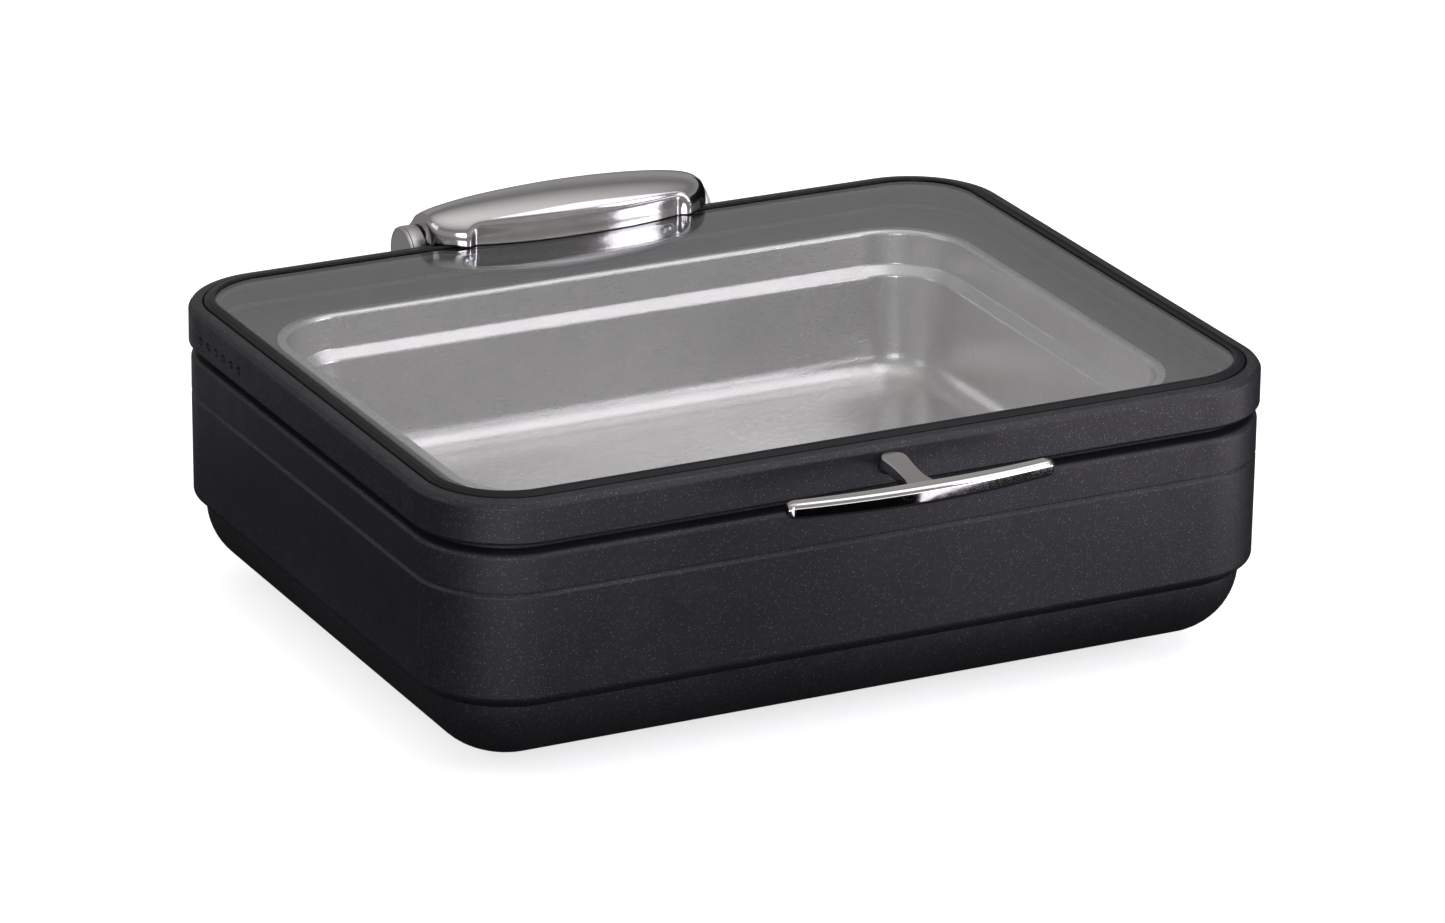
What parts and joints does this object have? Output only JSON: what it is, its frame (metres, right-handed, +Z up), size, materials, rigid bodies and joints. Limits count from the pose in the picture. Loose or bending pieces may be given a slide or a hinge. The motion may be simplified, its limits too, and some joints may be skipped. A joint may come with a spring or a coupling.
{
  "type": "electric buffet server",
  "caption": "Rectangular black electric buffet server with a hinged flat glass lid, bowed front handle, water pan and lift-out food pan.",
  "frame": {"origin": "centre of the object's box on the plane of the feet", "axes": "+X to the object's right seen from the front, along its width, -Y towards the front handle, +Z up"},
  "size_m": [0.6, 0.5709, 0.2275],
  "materials": {
    "powder_black": "fine metallic charcoal powder coat",
    "polished_steel": "polished stainless steel",
    "satin_steel": "satin stainless steel",
    "zinc_steel": "zinc-plated steel",
    "spring_steel": "dark oxidised steel",
    "aluminium": "mill finish",
    "brass": "turned",
    "rubber": "matt",
    "gasket": "semi-gloss silicone",
    "black_plastic": "fine spark texture",
    "amber_plastic": "clear amber",
    "insulation": "mineral-fibre felt",
    "glass": "clear tempered glass"
  },
  "bodies": {
    "housing": {"upper_housing": "powder_black", "base_tub": "powder_black", "bottom_cover": "zinc_steel", "cover_screw_left_front": "zinc_steel", "cover_screw_left_rear": "zinc_steel", "cover_screw_right_front": "zinc_steel", "cover_screw_right_rear": "zinc_steel", "foot_left_front": "rubber", "foot_left_rear": "rubber", "foot_right_front": "rubber", "foot_right_rear": "rubber", "deck_ring": "powder_black", "lid_bumper_left": "rubber", "lid_bumper_right": "rubber", "water_pan": "satin_steel", "heat_spreader": "aluminium", "heating_element": "spring_steel", "reflector_tray": "zinc_steel", "insulation_pad": "insulation", "thermostat_body": "black_plastic", "control_plate": "satin_steel", "control_screw_left": "zinc_steel", "control_screw_right": "zinc_steel", "switch_bezel": "black_plastic", "indicator_lens": "amber_plastic", "power_inlet": "black_plastic", "inlet_pin_live": "zinc_steel", "inlet_pin_neutral": "zinc_steel", "inlet_pin_earth": "zinc_steel", "hinge_bracket": "satin_steel", "bracket_screw_left_lower": "zinc_steel", "bracket_screw_left_upper": "zinc_steel", "bracket_screw_right_lower": "zinc_steel", "bracket_screw_right_upper": "zinc_steel", "hinge_pin": "zinc_steel", "hinge_end_cap_left": "satin_steel", "hinge_end_cap_right": "satin_steel", "lid_damper": "black_plastic", "counterbalance_spring": "spring_steel"},
    "lid": {"lid_frame": "powder_black", "lid_gasket": "gasket", "lid_glass": "glass", "hinge_barrel": "polished_steel", "hinge_bush_left": "brass", "hinge_bush_right": "brass", "hinge_hood": "polished_steel", "cup_washer_left": "polished_steel", "cup_washer_right": "polished_steel", "hinge_screw_left": "zinc_steel", "hinge_screw_right": "zinc_steel", "handle_stem": "polished_steel", "handle_bar": "polished_steel", "handle_screw": "zinc_steel"},
    "food_pan": {"food_pan": "satin_steel"},
    "thermostat_dial": {"thermostat_knob": "black_plastic", "thermostat_shaft": "brass"},
    "power_rocker": {"switch_rocker": "black_plastic"}
  },
  "joints": [
    {"name": "lid_hinge", "type": "hinge", "parent": "housing", "child": "lid", "pos_m": [0, 0.2645, 0.1855], "axis": [-1, 0, 0], "range_deg": [0, 90]},
    {"name": "food_pan_lift", "type": "slide", "parent": "housing", "child": "food_pan", "axis": [0, 0, 1], "range_m": [0, 0.015]},
    {"name": "thermostat_turn", "type": "hinge", "parent": "housing", "child": "thermostat_dial", "pos_m": [-0.204, 0.2461, 0.104], "axis": [0, -1, 0], "range_deg": [0, 270]},
    {"name": "power_rocker_tilt", "type": "hinge", "parent": "housing", "child": "power_rocker", "pos_m": [-0.163, 0.2461, 0.104], "axis": [1, 0, 0], "range_deg": [0, 14]}
  ]
}
